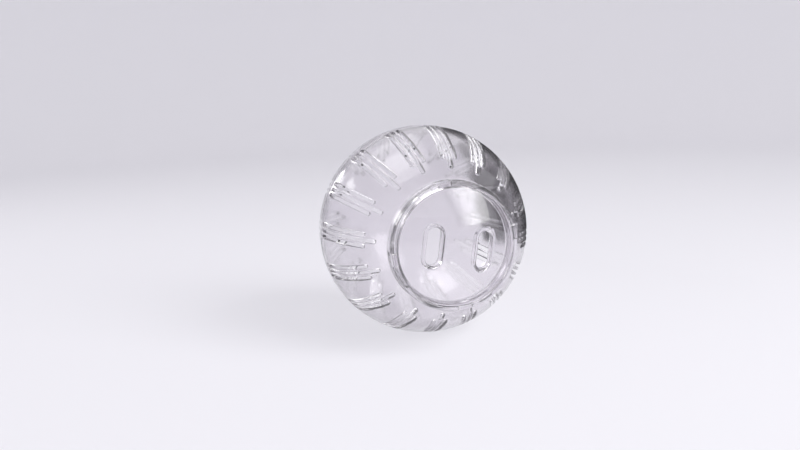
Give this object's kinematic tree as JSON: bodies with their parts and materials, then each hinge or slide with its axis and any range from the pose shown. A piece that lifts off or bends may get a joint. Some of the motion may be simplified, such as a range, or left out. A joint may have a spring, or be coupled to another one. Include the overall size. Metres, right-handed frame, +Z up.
{
  "type": "hamster ball",
  "caption": "Clear vented running ball for a small pet: two half shells that push together at the seam, and a twist-lock door with finger holes in a raised round neck.",
  "frame": {"origin": "centre of the ball, on the pole axis in the plane of the seam", "axes": "+Y along the pole axis from the door towards the closed pole, +Z up, +X to the right as seen from the door side"},
  "size_m": [0.1268, 0.135, 0.1268],
  "materials": {
    "clear_polystyrene": "clear, high gloss"
  },
  "bodies": {
    "door_side_half": {"door_side_shell": "clear_polystyrene"},
    "door": {"door": "clear_polystyrene"},
    "far_side_half": {"far_side_shell": "clear_polystyrene"}
  },
  "joints": [
    {"name": "door_twist", "type": "hinge", "parent": "door_side_half", "child": "door", "pos_m": [0, 0, 0], "axis": [0, -1, 0], "range_deg": [0, 20]},
    {"name": "halves_separate", "type": "slide", "parent": "door_side_half", "child": "far_side_half", "axis": [0, 1, 0], "range_m": [0, 0.04]}
  ]
}
